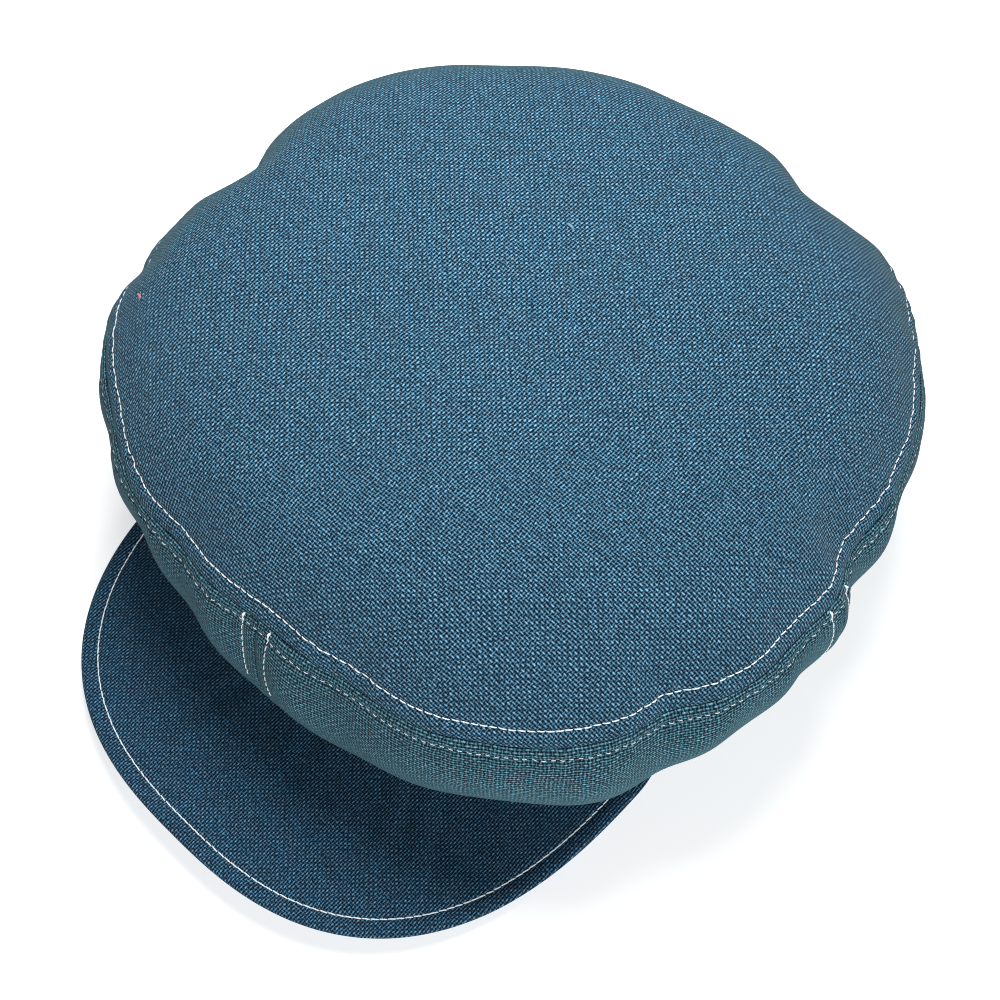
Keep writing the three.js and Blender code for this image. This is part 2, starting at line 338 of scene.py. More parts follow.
def inner_skin(degrees, part):
    """As top_skin, for the middle of the top: part runs from 1 where its even rows begin to 0."""
    start = share_at(top_point, degrees, np.full(degrees.shape, INNER_START), 1.0, -1.0)
    share = start * part
    distance = INNER_START + (start - share) * CROWN_RADIUS
    return lifted(top_point, degrees, share, top_relief(degrees, distance) * part)


def lifted(surface, degrees, share, relief):
    """The surface's points moved out along its normals by the relief."""
    along_u, along_v = slopes(surface, degrees, share, 0.05, EPSILON)
    normal = unit(np.cross(along_v, along_u))
    return surface(degrees, share) + normal * relief[..., None], normal


def seam_away(degrees, share):
    """Signed distance in mm from the nearest panel seam, along the side."""
    away = np.stack([np.mod(degrees - seam + 180, 360) - 180 for seam in PANEL_SEAMS])
    nearest = np.take_along_axis(away, np.abs(away).argmin(0)[None], 0)[0]
    ahead = side_point(degrees + 0.5, share) - side_point(degrees - 0.5, share)
    return nearest * np.linalg.norm(ahead, axis=-1)


def side_relief(degrees, share, distance):
    """Height of the sewn relief on the side, by distance down from the rim seam."""
    pucker = uneven(side_pucker(degrees), distance, SIDE_PUCKER)
    slack = uneven(side_slack(degrees), distance, SIDE_SLACK)
    started = smooth(distance, PANEL_SEAM_FROM, PANEL_SEAM_FULL)
    panel = bands(np.abs(seam_away(degrees, share)), PANEL_BANDS)
    gathers = GATHERS * gather_wave(degrees) * smooth(share, GATHERS_FROM, GATHERS_FULL)
    return bands(distance, SIDE_BANDS) + pucker + slack + panel * started + gathers


def side_skin(degrees, distance):
    degrees, distance = np.broadcast_arrays(np.asarray(degrees, float), np.asarray(distance, float))
    share = share_at(side_point, degrees, distance, 0.0, 1.0)
    return lifted(side_point, degrees, share, side_relief(degrees, share, distance))


def placed(points):
    return (np.asarray(points, float).reshape(-1, 3) + OFFSET) * MM


def new_mesh(name, points, faces, weave):
    """A smooth mesh object with its place in its mesh, and a map in metres of cloth called weave."""
    mesh = bpy.data.meshes.new(name)
    mesh.from_pydata(placed(points).tolist(), [], faces)
    mesh.update()
    layer = mesh.uv_layers.new(name="weave")
    corners = np.zeros(len(mesh.loops), dtype=np.int32)
    mesh.loops.foreach_get("vertex_index", corners)
    layer.uv.foreach_set("vector", (weave.reshape(-1, 2)[corners] * MM).astype(np.float32).ravel())
    mesh.shade_smooth()
    made = bpy.data.objects.new(name, mesh)
    bpy.context.scene.collection.objects.link(made)
    return made


def grid_faces(rows, columns, closed=False, flip=False):
    """Quads of a grid of points stored row by row."""
    faces = []
    last = columns if closed else columns - 1
    for j in range(rows - 1):
        for i in range(last):
            k = (i + 1) % columns
            quad = (j * columns + i, j * columns + k, (j + 1) * columns + k, (j + 1) * columns + i)
            faces.append(quad[::-1] if flip else quad)
    return faces


def thicken(piece, thickness):
    """Gives a skin the thickness of its cloth, inwards."""
    wall = piece.modifiers.new("cloth", "SOLIDIFY")
    wall.thickness = thickness * MM
    wall.offset = -1
    wall.use_even_offset = False
    bpy.context.view_layer.objects.active = piece
    for other in bpy.context.selected_objects:
        other.select_set(False)
    piece.select_set(True)
    bpy.ops.object.modifier_apply(modifier=wall.name)


def make_top():
    turns = np.arange(0, 360, TOP_STEP)
    near = np.concatenate([[0.05, 0.5], np.arange(1.0, 12, 0.8), np.linspace(12, INNER_START, 8)])
    points = []
    for distance in near:
        points.append(top_skin(turns, np.full(turns.shape, distance))[0])
    for part in np.linspace(1, 0.02, TOP_INNER_ROWS)[1:]:
        points.append(inner_skin(turns, part)[0])
    points = np.array(points)
    rows, columns = points.shape[:2]
    flat = points.reshape(-1, 3)
    centre = points[-1].mean(0)
    last_row = np.broadcast_to(centre, (1, columns, 3))
    steps = np.linalg.norm(np.diff(points, axis=0, append=last_row), axis=-1)
    run = steps[::-1].cumsum(0)[::-1]
    laid = centre[:2] + heading(turns)[None] * run[..., None]
    faces = grid_faces(rows, columns, closed=True)
    last = (rows - 1) * columns
    faces += [(last + i, last + (i + 1) % columns, len(flat)) for i in range(columns)]
    weave = np.vstack([laid.reshape(-1, 2), centre[:2]])
    piece = new_mesh("top_cloth", np.vstack([flat, centre]), faces, weave)
    thicken(piece, CLOTH)
    return piece


def panel_columns(start, end):
    """Degrees of a panel's columns, closer together beside its seams."""
    inset = math.degrees(SEAM_SLIT / 2 / CROWN_RADIUS)
    fine = np.array([0, 0.25, 0.5, 0.8, 1.1, 1.4, 1.7, 2.0, 2.3, 2.7, 3.2, 3.9])
    middle = np.linspace(start + 4.8, end - 4.8, PANEL_COLUMNS)
    return np.concatenate([start + inset + fine, middle, (end - inset - fine)[::-1]])


def make_panel(number, start, end):
    columns = panel_columns(start, end)
    near = np.concatenate([[0.05, 0.5], np.arange(1.0, 9, 0.8), np.arange(9, 16, 1.5)])
    points = []
    down = []
    for distance in near:
        points.append(side_skin(columns, np.full(columns.shape, distance))[0])
        down.append(np.full(columns.shape, distance))
    first = share_at(side_point, columns, np.full(columns.shape, near[-1]), 0.0, 1.0)
    whole = share_length(columns)
    for part in np.linspace(0, 1, PANEL_LOWER_ROWS)[1:]:
        share = first + (1 - first) * part
        distance = near[-1] + (whole - near[-1]) * part
        points.append(lifted(side_point, columns, share, side_relief(columns, share, distance))[0])
        down.append(distance)
    points = np.array(points)
    along = np.broadcast_to(columns * SIDE_PER_DEGREE, points.shape[:2])
    weave = np.stack([along, np.array(down)], axis=-1)
    faces = grid_faces(points.shape[0], points.shape[1], flip=True)
    piece = new_mesh(f"side_cloth_{number}", points, faces, weave)
    thicken(piece, CLOTH)
    return piece


def share_length(degrees):
    """Length of the side from the rim seam to the headband at each heading."""
    points = side_point(degrees[:, None], np.linspace(0, 1, 200)[None, :])
    return np.linalg.norm(np.diff(points, axis=1), axis=-1).sum(1)


def make_band():
    turns = np.arange(0, 360, BAND_STEP)
    way = heading(turns)
    points = []
    weave = []
    corner = 0.7
    levels = [(corner, 0.0), (0.2, 0.2), (0.0, corner)]
    levels += [(0.0, z) for z in np.linspace(2, BAND_HEIGHT - 2, BAND_ROWS)]
    levels += [(0.0, BAND_HEIGHT - corner), (0.2, BAND_HEIGHT - 0.2), (corner, BAND_HEIGHT)]
    inner = [(BAND_WALL - inset, z) for inset, z in levels[::-1]]
    for inset, z in levels + inner:
        fold = BAND_ROW_DEPTH * hump(z, BAND_ROW, BAND_ROW_WIDTH) if inset == 0 else 0.0
        x = (BAND_HALF_WIDTH - inset - fold) * way[:, 0]
        y = (BAND_HALF_DEPTH - inset - fold) * way[:, 1]
        points.append(np.stack([x, y, np.full(x.shape, z)], axis=-1))
        weave.append(np.stack([turns * BAND_PER_DEGREE, np.full(x.shape, z + inset)], axis=-1))
    points = np.array(points)
    weave = np.array(weave)
    rows, columns = points.shape[:2]
    faces = grid_faces(rows, columns, closed=True)
    for i in range(columns):
        k = (i + 1) % columns
        faces.append(((rows - 1) * columns + i, (rows - 1) * columns + k, k, i))
    return new_mesh("band_cloth", points, faces, weave)


def edge_inset(across, inset):
    """How far out a line lies that keeps the inset in mm from the peak's edge."""
    base = peak_point(across, 0.0)
    edge = peak_point(across, 1.0)
    ahead = peak_point(across + 0.004, 1.0) - peak_point(across - 0.004, 1.0)
    outward = unit(edge - base)
    along = unit(ahead)
    square = np.sqrt(np.maximum(1 - (outward * along).sum(-1) ** 2, 0.2))
    return 1 - inset / square / np.linalg.norm(edge - base, axis=-1)


peak_wander = ripples(21, 6, 0.02, 0.09)


def peak_relief(distance, across):
    """Relief of the peak's upper cover by distance in from its edge."""
    swell = PEAK_SWELL * peak_wander(across * 150) * smooth(distance, PEAK_SWELL_FROM, PEAK_SWELL_FULL)
    return bands(distance, PEAK_BANDS) + swell


def make_peak():
    even = np.linspace(-1, 1, PEAK_COLUMNS)
    across = np.sin(even * np.pi / 2) * 0.6 + even * 0.4
    insets = np.concatenate([[0.0, 0.12, 0.45, 1.0, 1.6], np.arange(2.3, 10, 0.75), [11.5, 14, 17.5, 22]])
    half = PEAK_WALL / 2
    layers = []
    for sign in (1, -1):
        sheet = []
        rounding = np.sqrt(np.clip(1 - (1 - np.clip(insets / half, 0, 1)) ** 2, 0, 1))
        for inset, rise in zip(insets, rounding):
            out = edge_inset(across, inset)
            relief = peak_relief(inset, across) * rise if sign > 0 else 0.0
            sheet.append(with_height(peak_point(across, out), sign * half * rise + relief))
        first = edge_inset(across, insets[-1])
        for part in np.linspace(1, 0, PEAK_INNER_ROWS)[1:]:
            relief = peak_relief(PEAK_INNER_INSET, across) if sign > 0 else 0.0
            sheet.append(with_height(peak_point(across, first * part), sign * half + relief))
        layers.append(np.array(sheet))
    upper, lower = layers
    points = np.concatenate([upper[::-1], lower[1:]])
    faces = grid_faces(points.shape[0], points.shape[1])
    columns = points.shape[1]
    rows = points.shape[0]
    faces += [tuple((rows - 1 - j) * columns for j in range(rows))[::-1]]
    faces += [tuple((rows - 1 - j) * columns + columns - 1 for j in range(rows))]
    last = (rows - 1) * columns
    faces += [(i, last + i, last + i + 1, i + 1) for i in range(columns - 1)]
    return new_mesh("peak_cloth", points, faces, points[..., :2])


def with_height(points, height):
    points = points.copy()
    points[..., 2] += height
    return points


def sew(line, normals, pitch=STITCH_PITCH, length=STITCH_LENGTH, radius=THREAD_RADIUS, seed=1):
    """Points and faces of a row of stitches along a line on the cloth, each dipping in at its ends."""
    steps = np.linalg.norm(np.diff(line, axis=0), axis=-1)
    run = np.concatenate([[0], steps.cumsum()])
    count = max(1, int(run[-1] // pitch))
    pitch = run[-1] / count
    draw = np.random.default_rng(seed)
    sections, sides = 9, 8
    middle = (np.arange(count) + 0.5) * pitch + draw.normal(0, 0.06, count)
    half = length / 2 * draw.uniform(0.93, 1.05, count)
    t = np.linspace(-1, 1, sections)
    at = middle[:, None] + half[:, None] * t[None, :]
    centre = np.stack([np.interp(at, run, line[:, k]) for k in range(3)], axis=-1)
    up = unit(np.stack([np.interp(at, run, normals[:, k]) for k in range(3)], axis=-1))
    along = unit(centre[:, -1] - centre[:, 0])[:, None, :] * np.ones_like(up)
    side = unit(np.cross(along, up))
    slant = draw.normal(0.10, 0.05, count)
    lift = radius * (STITCH_LIFT - STITCH_DIP * np.abs(t) ** 3)
    thick = radius * (STITCH_THICKNESS - STITCH_TAPER * np.abs(t) ** 4)
    thick[[0, -1]] *= STITCH_END
    centre = centre + up * lift[None, :, None] + side * (slant[:, None] * t[None, :])[..., None]
    angle = np.linspace(0, 2 * np.pi, sides, endpoint=False)
    round_side = np.cos(angle)[:, None, None, None] * side
    round_up = np.sin(angle)[:, None, None, None] * up * THREAD_FLATNESS
    points = centre + (round_side + round_up) * thick[None, None, :, None]
    points = np.moveaxis(points, 0, 2)
    faces = []
    for s in range(count):
        base = s * sections * sides
        for j in range(sections - 1):
            for i in range(sides):
                k = (i + 1) % sides
                row = base + j * sides
                faces.append((row + i, row + k, row + sides + k, row + sides + i))
        faces.append(tuple(base + i for i in range(sides))[::-1])
        faces.append(tuple(base + (sections - 1) * sides + i for i in range(sides)))
    run_map = np.broadcast_to(at[:, :, None], points.shape[:3])
    turn_map = np.broadcast_to(np.arange(sides)[None, None, :] / sides, points.shape[:3])
    weave = np.stack([run_map, turn_map], axis=-1)
    return points.reshape(-1, 3), faces, weave.reshape(-1, 2)


def join_rows(name, rows):
    points, faces, weave = [], [], []
    start = 0
    for row_points, row_faces, row_weave in rows:
        points.append(row_points)
        weave.append(row_weave)
        faces += [tuple(start + i for i in face) for face in row_faces]
        start += len(row_points)
    return new_mesh(name, np.vstack(points), faces, np.vstack(weave))


def round_row(skin, distance, seed, **how):
    """A row of stitches all round the crown, at one distance from the rim seam."""
    degrees = np.linspace(0, 360, 1801)
    line, normals = skin(degrees, np.full(degrees.shape, distance))
    return sew(line, normals, seed=seed, **how)


def drape(line, normals, cloths):
    """The line moved along its normals on to the made cloths."""
    laid = line.copy()
    for k, (point, normal) in enumerate(zip(line, normals)):
        start = Vector(placed([point + 4 * normal])[0])
        for cloth in cloths:
            spot = cloth.ray_cast(start, Vector(-normal), 8 * MM)[0]
            if spot:
                laid[k] = np.array(spot) / MM - OFFSET
    return laid


def panel_rows(seam, seed, cloths):
    """The rows on both sides of a panel seam, from a knot at the rim down the side."""
    rows = []
    distance = np.linspace(PANEL_ROW_FROM, PANEL_ROW_TO, 90)
    for side in (-1, 1):
        degrees = np.full(distance.shape, seam)
        share = share_at(side_point, degrees, distance, 0.0, 1.0)
        ahead = side_point(degrees + 0.5, share) - side_point(degrees - 0.5, share)
        degrees = seam + side * PANEL_ROW / np.linalg.norm(ahead, axis=-1)
        line, normals = side_skin(degrees, distance)
        line = drape(line, normals, cloths)
        rows.append(sew(line, normals, seed=seed + side, **PANEL_STITCH))
        rows.append(sew(line[1:14], normals[1:14], seed=seed, **FIRST_STITCHES))
        rows.append(sew(line[1:6], normals[1:6], seed=seed, **KNOT))
    return rows


def peak_row():
    across = np.linspace(-0.985, 0.985, 1200)
    out = edge_inset(across, PEAK_ROW)
    line = with_height(peak_point(across, out), PEAK_WALL / 2 + peak_relief(PEAK_ROW, across))
    normals = np.tile([0.0, 0.0, 1.0], (len(line), 1))
    return sew(line, normals, length=PEAK_STITCH_LENGTH, seed=51)


def band_row():
    degrees = np.linspace(0, 360, 900)
    way = heading(degrees)
    x = (BAND_HALF_WIDTH - BAND_ROW_DEPTH) * way[:, 0]
    y = (BAND_HALF_DEPTH - BAND_ROW_DEPTH) * way[:, 1]
    line = np.stack([x, y, np.full(x.shape, BAND_ROW)], axis=-1)
    normals = np.concatenate([way, np.zeros((len(way), 1))], axis=-1)
    return sew(line, normals, seed=61)


def strand(spot, way_degrees, length, radius):
    """A single short strand that lies on the cloth."""
    point, normal = spot[0][0], spot[1][0]
    way = np.append(heading(way_degrees), 0.0) * length
    line = np.array([point - way, point + way])
    return sew(line, np.array([normal, normal]), pitch=2 * length, length=length, radius=radius)


# Materials: how far one yarn leads over the other, the depths between the gaps, which get painted shade,
# and the crests, which get a painted highlight, the range of slant in which the painted sheen comes in,
# and the twist of the thread
LEAD = 0.48
GAP_DEPTH, CREST_DEPTH, CREST_HIGHLIGHT_POWER = 0.24, 0.88, 2.2
# Painted sheen: the range of facing over which the cloth's colour gives way to a flat sheen colour, and
# how far
SHEEN_FROM, SHEEN_FULL, SHEEN_MOST = 0.5, 0.9, 0.7
TWISTS_PER_METRE, PLIES = 1400.0, 2
# Painted shade: the near-black of the gaps between the yarns, mixed in down their sides by height
GAP_SHADE = (0.001, 0.006, 0.018)
# The colours of the crests are painted highlights on the tops of the yarns
CROWN_YARN, CROWN_CREST_HIGHLIGHT, CROWN_PAINTED_SHEEN = (0.017, 0.15, 0.28), (0.238, 0.49, 0.66), (0.036, 0.115, 0.145)
SIDE_YARN, SIDE_CREST_HIGHLIGHT, SIDE_WEFT_SHARE = (0.022, 0.15, 0.23), (0.215, 0.48, 0.575), 0.7
# Painted shade: the peak's colours are the crown's cloth darkened for the crown's shadow on the peak
PEAK_SHADED_YARN, PEAK_SHADED_CREST_HIGHLIGHT, PEAK_SHADED_SHEEN = (0.010, 0.105, 0.225), (0.17, 0.39, 0.57), (0.022, 0.065, 0.11)
PEAK_WEFT_SHARE = 0.25
THREAD_LOW, THREAD_HIGH = (0.82, 0.87, 0.90, 1.0), (0.94, 0.97, 0.99, 1.0)
LINT_COLOUR = (0.62, 0.26, 0.33)
SLUB_COLOUR = (0.17, 0.34, 0.45)


def calc(tree, operation, *values):
    node = tree.nodes.new("ShaderNodeMath")
    node.operation = operation
    for socket, value in zip(node.inputs, values):
        if isinstance(value, (int, float)):
            socket.default_value = value
        else:
            tree.links.new(value, socket)
    return node.outputs[0]


def yarn_noise(tree, row, along, seed):
    """A slow, smooth change along each yarn, different from yarn to yarn."""
    spot = tree.nodes.new("ShaderNodeCombineXYZ")
    tree.links.new(calc(tree, "MULTIPLY", row, 3.7), spot.inputs[0])
    tree.links.new(calc(tree, "MULTIPLY", along, 0.25), spot.inputs[1])
    spot.inputs[2].default_value = 40.0 * seed
    uneven = tree.nodes.new("ShaderNodeTexNoise")
    uneven.inputs["Scale"].default_value = 1.0
    uneven.inputs["Detail"].default_value = 1.0
    tree.links.new(spot.outputs[0], uneven.inputs["Vector"])
    return uneven.outputs["Fac"]


def weave_group():
    """Plain weave from a map counted in yarns: the heights of both yarns, how bright each one is, a
    chance brightness for each crossing and a fine unevenness."""
    group = bpy.data.node_groups.new("plain_weave", "ShaderNodeTree")
    group.interface.new_socket("Yarns", in_out="INPUT", socket_type="NodeSocketVector")
    for name in ("Warp", "Weft", "Warp shade", "Weft shade", "Crossing", "Unevenness"):
        group.interface.new_socket(name, in_out="OUTPUT", socket_type="NodeSocketFloat")
    enter = group.nodes.new("NodeGroupInput")
    leave = group.nodes.new("NodeGroupOutput")
    split = group.nodes.new("ShaderNodeSeparateXYZ")
    group.links.new(enter.outputs["Yarns"], split.inputs[0])
    u, v = split.outputs[0], split.outputs[1]
    row_u = calc(group, "FLOOR", u)
    row_v = calc(group, "FLOOR", v)
    for name, across, row, along, crimp in (("Warp", u, row_u, v, CRIMP), ("Weft", v, row_v, u, -CRIMP)):
        shade = yarn_noise(group, row, along, crimp)
        slim = calc(group, "MULTIPLY_ADD", shade, -0.6, 1.5)
        middle = calc(group, "MULTIPLY_ADD", calc(group, "FRACT", across), 2.0, -1.0)
        middle = calc(group, "MULTIPLY", middle, slim)
        round_off = calc(group, "SUBTRACT", 1.0, calc(group, "MULTIPLY", middle, middle))
        profile = calc(group, "MAXIMUM", round_off, 0.0)
        turn = calc(group, "MULTIPLY", calc(group, "ADD", along, row), math.pi)
        wave = calc(group, "MULTIPLY_ADD", calc(group, "SINE", turn), crimp, 1.0 - CRIMP)
        group.links.new(calc(group, "MULTIPLY", profile, wave), leave.inputs[name])
        group.links.new(shade, leave.inputs[name + " shade"])
    cell = group.nodes.new("ShaderNodeCombineXYZ")
    group.links.new(row_u, cell.inputs[0])
    group.links.new(row_v, cell.inputs[1])
    chance = group.nodes.new("ShaderNodeTexWhiteNoise")
    group.links.new(cell.outputs[0], chance.inputs["Vector"])
    group.links.new(chance.outputs["Value"], leave.inputs["Crossing"])
    stretch = group.nodes.new("ShaderNodeVectorMath")
    stretch.operation = "MULTIPLY"
    stretch.inputs[1].default_value = (2.2, 1.1, 1.0)
    group.links.new(enter.outputs["Yarns"], stretch.inputs[0])
    fine = group.nodes.new("ShaderNodeTexNoise")
    fine.inputs["Scale"].default_value = 1.0
    fine.inputs["Detail"].default_value = 0.0
    group.links.new(stretch.outputs[0], fine.inputs["Vector"])
    group.links.new(calc(group, "SUBTRACT", fine.outputs["Fac"], 0.5), leave.inputs["Unevenness"])
    return group


WEAVE = weave_group()


def mix_colour(tree, share, first, second, blend="MIX"):
    node = tree.nodes.new("ShaderNodeMix")
    node.data_type = "RGBA"
    node.blend_type = blend
    for socket, value in ((node.inputs[0], share), (node.inputs[6], first), (node.inputs[7], second)):
        if isinstance(value, (int, float, tuple)):
            socket.default_value = value
        else:
            tree.links.new(value, socket)
    return node.outputs[2]


def map_range(tree, value, low, high, bottom=0.0, top=1.0):
    node = tree.nodes.new("ShaderNodeMapRange")
    node.inputs["From Min"].default_value = low
    node.inputs["From Max"].default_value = high
    node.inputs["To Min"].default_value = bottom
    node.inputs["To Max"].default_value = top
    tree.links.new(value, node.inputs["Value"])
    return node.outputs[0]


def weave_place(tree, pitch):
    """The cloth's map counted in yarns, with a slow wander so that the yarns don't run quite straight."""
    place = tree.nodes.new("ShaderNodeUVMap")
    place.uv_map = "weave"
    drift = tree.nodes.new("ShaderNodeTexNoise")
    drift.inputs["Scale"].default_value = 90.0
    drift.inputs["Detail"].default_value = 1.5
    tree.links.new(place.outputs[0], drift.inputs["Vector"])
    centred = tree.nodes.new("ShaderNodeVectorMath")
    centred.operation = "SUBTRACT"
    centred.inputs[1].default_value = (0.5, 0.5, 0.5)
    tree.links.new(drift.outputs["Color"], centred.inputs[0])
    moved = tree.nodes.new("ShaderNodeVectorMath")
    moved.operation = "MULTIPLY_ADD"
    moved.inputs[1].default_value = (0.0016, 0.0016, 0.0)
    tree.links.new(centred.outputs[0], moved.inputs[0])
    tree.links.new(place.outputs[0], moved.inputs[2])
    yarns = tree.nodes.new("ShaderNodeVectorMath")
    yarns.operation = "SCALE"
    yarns.inputs["Scale"].default_value = 1 / (pitch * MM)
    tree.links.new(moved.outputs[0], yarns.inputs[0])
    return place.outputs[0], yarns.outputs[0]


def painted_light_front_lead(tree, place):
    """The weft's share on the top: small in the middle, large to the front, with a ragged change. The
    change
    is painted light: it stands in for the light that makes the weft look brighter on the front slope.
    """
    ahead = tree.nodes.new("ShaderNodeVectorMath")
    ahead.operation = "DOT_PRODUCT"
    ahead.inputs[1].default_value = (0.67, -0.74, 0.0)
    tree.links.new(place, ahead.inputs[0])
    ragged = tree.nodes.new("ShaderNodeTexNoise")
    ragged.inputs["Scale"].default_value = 70.0
    ragged.inputs["Detail"].default_value = 3.0
    tree.links.new(place, ragged.inputs["Vector"])
    wander = calc(tree, "MULTIPLY_ADD", ragged.outputs["Fac"], 0.06, -0.03)
    reach = calc(tree, "ADD", ahead.outputs["Value"], wander)
    return map_range(tree, reach, 0.03, 0.08, bottom=0.25, top=0.75)


def cloth_material(name, yarn, crest_highlight, painted_sheen, weft_share, pitch=YARN_PITCH):
    """Plain-woven cloth: painted shade in the gaps and down the sides of the yarns, a painted highlight
    on their crests, and a painted sheen, a colour that is mixed into the base colour by the angle of
    view.
    The weft share says how far the yarns that lie across lead over those that run lengthwise, and None
    takes the share of the top, which changes to the front as painted light."""
    material = bpy.data.materials.new(name)
    material.use_nodes = True
    tree = material.node_tree
    shader = tree.nodes["Principled BSDF"]
    shader.inputs["Roughness"].default_value = 0.9
    shader.inputs["Specular IOR Level"].default_value = 0.15
    shader.inputs["Sheen Weight"].default_value = 0.04
    shader.inputs["Sheen Roughness"].default_value = 0.6
    place, yarns = weave_place(tree, pitch)
    weave = tree.nodes.new("ShaderNodeGroup")
    weave.node_tree = WEAVE
    tree.links.new(yarns, weave.inputs["Yarns"])
    warp, weft, warp_shade, weft_shade, crossing, unevenness = (weave.outputs[k] for k in range(6))
    # Painted light: on the top the weft's lead grows to the front, where the light brightens the weft
    share = painted_light_front_lead(tree, place) if weft_share is None else weft_share
    warp = calc(tree, "MULTIPLY", warp, calc(tree, "MULTIPLY_ADD", share, -LEAD, 1.0))
    weft = calc(tree, "MULTIPLY", weft, calc(tree, "MULTIPLY_ADD", share, LEAD, 1.0 - LEAD))
    height = calc(tree, "MAXIMUM", warp, weft)
    shown = tree.nodes.new("ShaderNodeMix")
    tree.links.new(calc(tree, "GREATER_THAN", warp, weft), shown.inputs[0])
    tree.links.new(weft_shade, shown.inputs[2])
    tree.links.new(warp_shade, shown.inputs[3])
    ragged_height = calc(tree, "MULTIPLY_ADD", unevenness, 0.6, height)
    # Painted shade in the gaps and a painted highlight on the crests, by the height of the yarns
    depth = map_range(tree, ragged_height, GAP_DEPTH, CREST_DEPTH)
    colour = mix_colour(tree, depth, (*GAP_SHADE, 1.0), (*yarn, 1.0))
    colour = mix_colour(tree, calc(tree, "POWER", depth, CREST_HIGHLIGHT_POWER), colour, (*crest_highlight, 1.0))
    patch = tree.nodes.new("ShaderNodeTexNoise")
    patch.inputs["Scale"].default_value = 28.0
    patch.inputs["Detail"].default_value = 3.0
    tree.links.new(place, patch.inputs["Vector"])
    patchy = calc(tree, "MULTIPLY_ADD", patch.outputs["Fac"], 0.1, 0.8)
    level = calc(tree, "MULTIPLY_ADD", shown.outputs[0], 0.3, patchy)
    level = calc(tree, "MULTIPLY", level, calc(tree, "MULTIPLY_ADD", crossing, 0.45, 0.775))
    colour = mix_colour(tree, 1.0, colour, grey(tree, level), blend="MULTIPLY")
    # Painted sheen: a flat colour is mixed into the base colour by the angle of view
    slant = tree.nodes.new("ShaderNodeLayerWeight")
    slant.inputs["Blend"].default_value = 0.5
    closed = map_range(tree, slant.outputs["Facing"], SHEEN_FROM, SHEEN_FULL, top=SHEEN_MOST)
    colour = mix_colour(tree, closed, colour, (*painted_sheen, 1.0))
    tree.links.new(colour, shader.inputs["Base Color"])
    bump = tree.nodes.new("ShaderNodeBump")
    bump.inputs["Strength"].default_value = 1.0
    bump.inputs["Distance"].default_value = 0.0004
    tree.links.new(height, bump.inputs["Height"])
    tree.links.new(bump.outputs[0], shader.inputs["Normal"])
    return material


def grey(tree, value):
    node = tree.nodes.new("ShaderNodeCombineColor")
    for socket in node.inputs[:3]:
        tree.links.new(value, socket)
    return node.outputs[0]


def plain_material(name, colour):
    material = bpy.data.materials.new(name)
    material.use_nodes = True
    shader = material.node_tree.nodes["Principled BSDF"]
    shader.inputs["Base Color"].default_value = (*colour, 1.0)
    shader.inputs["Roughness"].default_value = 0.9
    return material


def thread_material_painted_glow():
    material = bpy.data.materials.new("thread")
    material.use_nodes = True
    tree = material.node_tree
    shader = tree.nodes["Principled BSDF"]
    shader.inputs["Roughness"].default_value = 0.55
    shader.inputs["Sheen Weight"].default_value = 0.15
    # Painted light: a slight glow keeps the thread white where it lies in shade
    shader.inputs["Emission Color"].default_value = (0.93, 0.97, 1.0, 1.0)
    shader.inputs["Emission Strength"].default_value = 0.22
    place = tree.nodes.new("ShaderNodeUVMap")
    place.uv_map = "weave"
    split = tree.nodes.new("ShaderNodeSeparateXYZ")
    tree.links.new(place.outputs[0], split.inputs[0])
    along = calc(tree, "MULTIPLY", split.outputs[0], TWISTS_PER_METRE)
    twist = calc(tree, "MULTIPLY_ADD", split.outputs[1], PLIES / MM, along)
    ply = calc(tree, "SINE", calc(tree, "MULTIPLY", twist, math.pi * 2))
    share = calc(tree, "MULTIPLY_ADD", ply, 0.5, 0.5)
    colour = mix_colour(tree, share, THREAD_LOW, THREAD_HIGH)
    tree.links.new(colour, shader.inputs["Base Color"])
    bump = tree.nodes.new("ShaderNodeBump")
    bump.inputs["Strength"].default_value = 0.5
    bump.inputs["Distance"].default_value = 0.00008
    tree.links.new(ply, bump.inputs["Height"])
    tree.links.new(bump.outputs[0], shader.inputs["Normal"])
    return material


crown_cloth = cloth_material("crown_cloth", CROWN_YARN, CROWN_CREST_HIGHLIGHT, CROWN_PAINTED_SHEEN, None)
side_cloth = cloth_material("side_cloth", SIDE_YARN, SIDE_CREST_HIGHLIGHT, CROWN_PAINTED_SHEEN, SIDE_WEFT_SHARE)
# Painted shade: the peak's cloth is a darker copy of the crown's
peak_cloth = cloth_material("peak_cloth", PEAK_SHADED_YARN, PEAK_SHADED_CREST_HIGHLIGHT, PEAK_SHADED_SHEEN, PEAK_WEFT_SHARE,
                            pitch=PEAK_YARN_PITCH)
thread = thread_material_painted_glow()


def dress(piece, material, slot, *nodes):
    piece.data.materials.clear()
    piece.data.materials.append(material)
    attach(piece, "root")
    if nodes:
        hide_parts(*nodes)


dress(make_top(), crown_cloth, "crown_cloth", "crown_top")
side_cloths = []
for number, start in enumerate(PANEL_SEAMS, 1):
    end = (PANEL_SEAMS + (PANEL_SEAMS[0] + 360,))[number]
    panel = make_panel(number, start, end)
    dress(panel, side_cloth, "side_cloth", f"side_panel_{number}")
    corners = [vertex.co for vertex in panel.data.vertices]
    side_cloths.append(BVHTree.FromPolygons(corners, [face.vertices for face in panel.data.polygons]))
dress(make_band(), side_cloth, "band_cloth", "headband")
dress(make_peak(), peak_cloth, "peak_cloth", "peak")

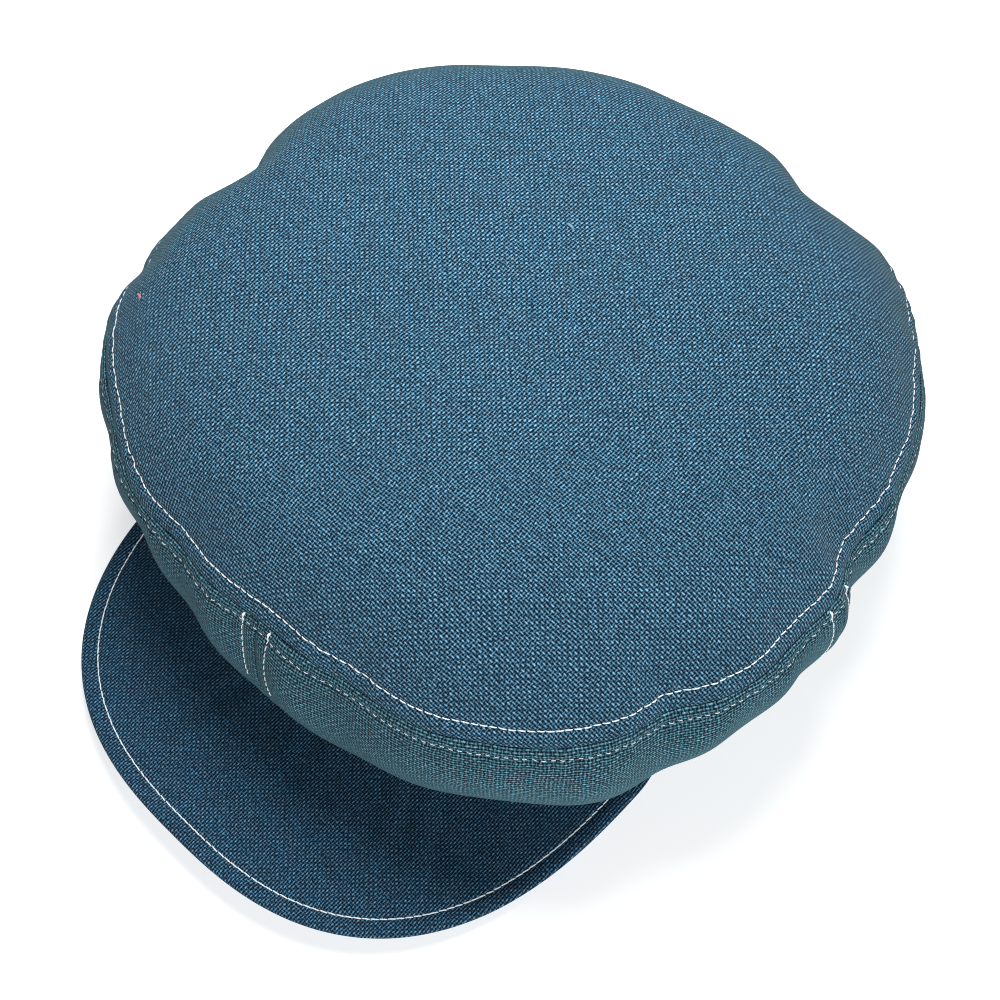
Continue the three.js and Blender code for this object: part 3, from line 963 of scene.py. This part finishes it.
dress(join_rows("rim_stitching", [round_row(top_skin, TOP_ROW, 31)]), thread, "thread")
side_rows = [round_row(side_skin, SIDE_ROW, 32, **SIDE_STITCH)]
dress(join_rows("side_stitching", side_rows), thread, "thread")
panel_stitches = []
for number, seam in enumerate(PANEL_SEAMS):
    panel_stitches += panel_rows(seam, 40 + 3 * number, side_cloths)
dress(join_rows("panel_stitching", panel_stitches), thread, "thread")
dress(join_rows("peak_stitching", [peak_row()]), thread, "thread")
dress(join_rows("band_stitching", [band_row()]), thread, "thread")
lint_spot = top_skin(np.array([LINT_AT]), np.array([LINT_INSET]))
lint = [strand(lint_spot, 85, 3.0, 0.36), strand(lint_spot, 30, 2.2, 0.26)]
dress(join_rows("lint", lint), plain_material("lint", LINT_COLOUR), None)
slub = strand(inner_skin(np.array([SLUB_AT]), SLUB_PART), 90, 3.2, 0.55)
dress(join_rows("slub", [slub]), plain_material("slub", SLUB_COLOUR), None)


# Camera at the photograph's angle
AZIMUTH, ELEVATION, ROLL = 41.98, 64.26, 1.0
CAMERA_AT = (171.76, -208.66, 559.5)
LENS, SENSOR = 57.8, 36.0
FLOOR_HALF, FLOOR_GLOW = 6.0, 0.62
LAMP_AIM = Vector((0.0, 0.0, 0.05))


def make_camera():
    turn, tilt, roll = (math.radians(a) for a in (AZIMUTH, ELEVATION, ROLL))
    back = Vector((math.sin(turn) * math.cos(tilt), -math.cos(turn) * math.cos(tilt), math.sin(tilt)))
    right = Vector((math.cos(turn), math.sin(turn), 0))
    up = back.cross(right)
    right, up = right * math.cos(roll) + up * math.sin(roll), up * math.cos(roll) - right * math.sin(roll)
    camera = bpy.data.objects.new("camera", bpy.data.cameras.new("camera"))
    bpy.context.scene.collection.objects.link(camera)
    place = Matrix((right, up, back)).transposed().to_4x4()
    place.translation = Vector(placed([CAMERA_AT])[0])
    camera.matrix_world = place
    camera.data.lens = LENS
    camera.data.sensor_width = SENSOR
    bpy.context.scene.camera = camera


def make_floor():
    mesh = bpy.data.meshes.new("floor")
    half = FLOOR_HALF
    corners = [(-half, -half, 0), (half, -half, 0), (half, half, 0), (-half, half, 0)]
    mesh.from_pydata(corners, [], [(0, 1, 2, 3)])
    floor = bpy.data.objects.new("floor", mesh)
    bpy.context.scene.collection.objects.link(floor)
    material = bpy.data.materials.new("floor")
    material.use_nodes = True
    shader = material.node_tree.nodes["Principled BSDF"]
    shader.inputs["Base Color"].default_value = (0.9, 0.9, 0.9, 1)
    shader.inputs["Roughness"].default_value = 0.9
    shader.inputs["Emission Color"].default_value = (1.0, 1.0, 1.0, 1)
    shader.inputs["Emission Strength"].default_value = FLOOR_GLOW
    mesh.materials.append(material)


def make_lamp(name, place, size, watts):
    lamp = bpy.data.lights.new(name, "AREA")
    lamp.shape = "DISK"
    lamp.size = size
    lamp.energy = watts
    holder = bpy.data.objects.new(name, lamp)
    holder.location = place
    way = LAMP_AIM - Vector(place)
    holder.rotation_mode = "QUATERNION"
    holder.rotation_quaternion = way.to_track_quat("-Z", "Y")
    bpy.context.scene.collection.objects.link(holder)


def make_world(colour, strength):
    world = bpy.data.worlds.new("studio")
    world.use_nodes = True
    sky = world.node_tree.nodes["Background"]
    sky.inputs["Color"].default_value = (*colour, 1)
    sky.inputs["Strength"].default_value = strength
    bpy.context.scene.world = world


make_camera()
make_floor()
make_world(colour=(0.95, 0.98, 1.0), strength=0.13)
make_lamp("key", place=(-0.08, 0.12, 0.56), size=0.3, watts=3.0)
make_lamp("fill", place=(1.05, -0.45, 0.45), size=0.6, watts=6)
bpy.context.scene.view_settings.view_transform = "Standard"
bpy.context.scene.cycles.filter_width = 1.0
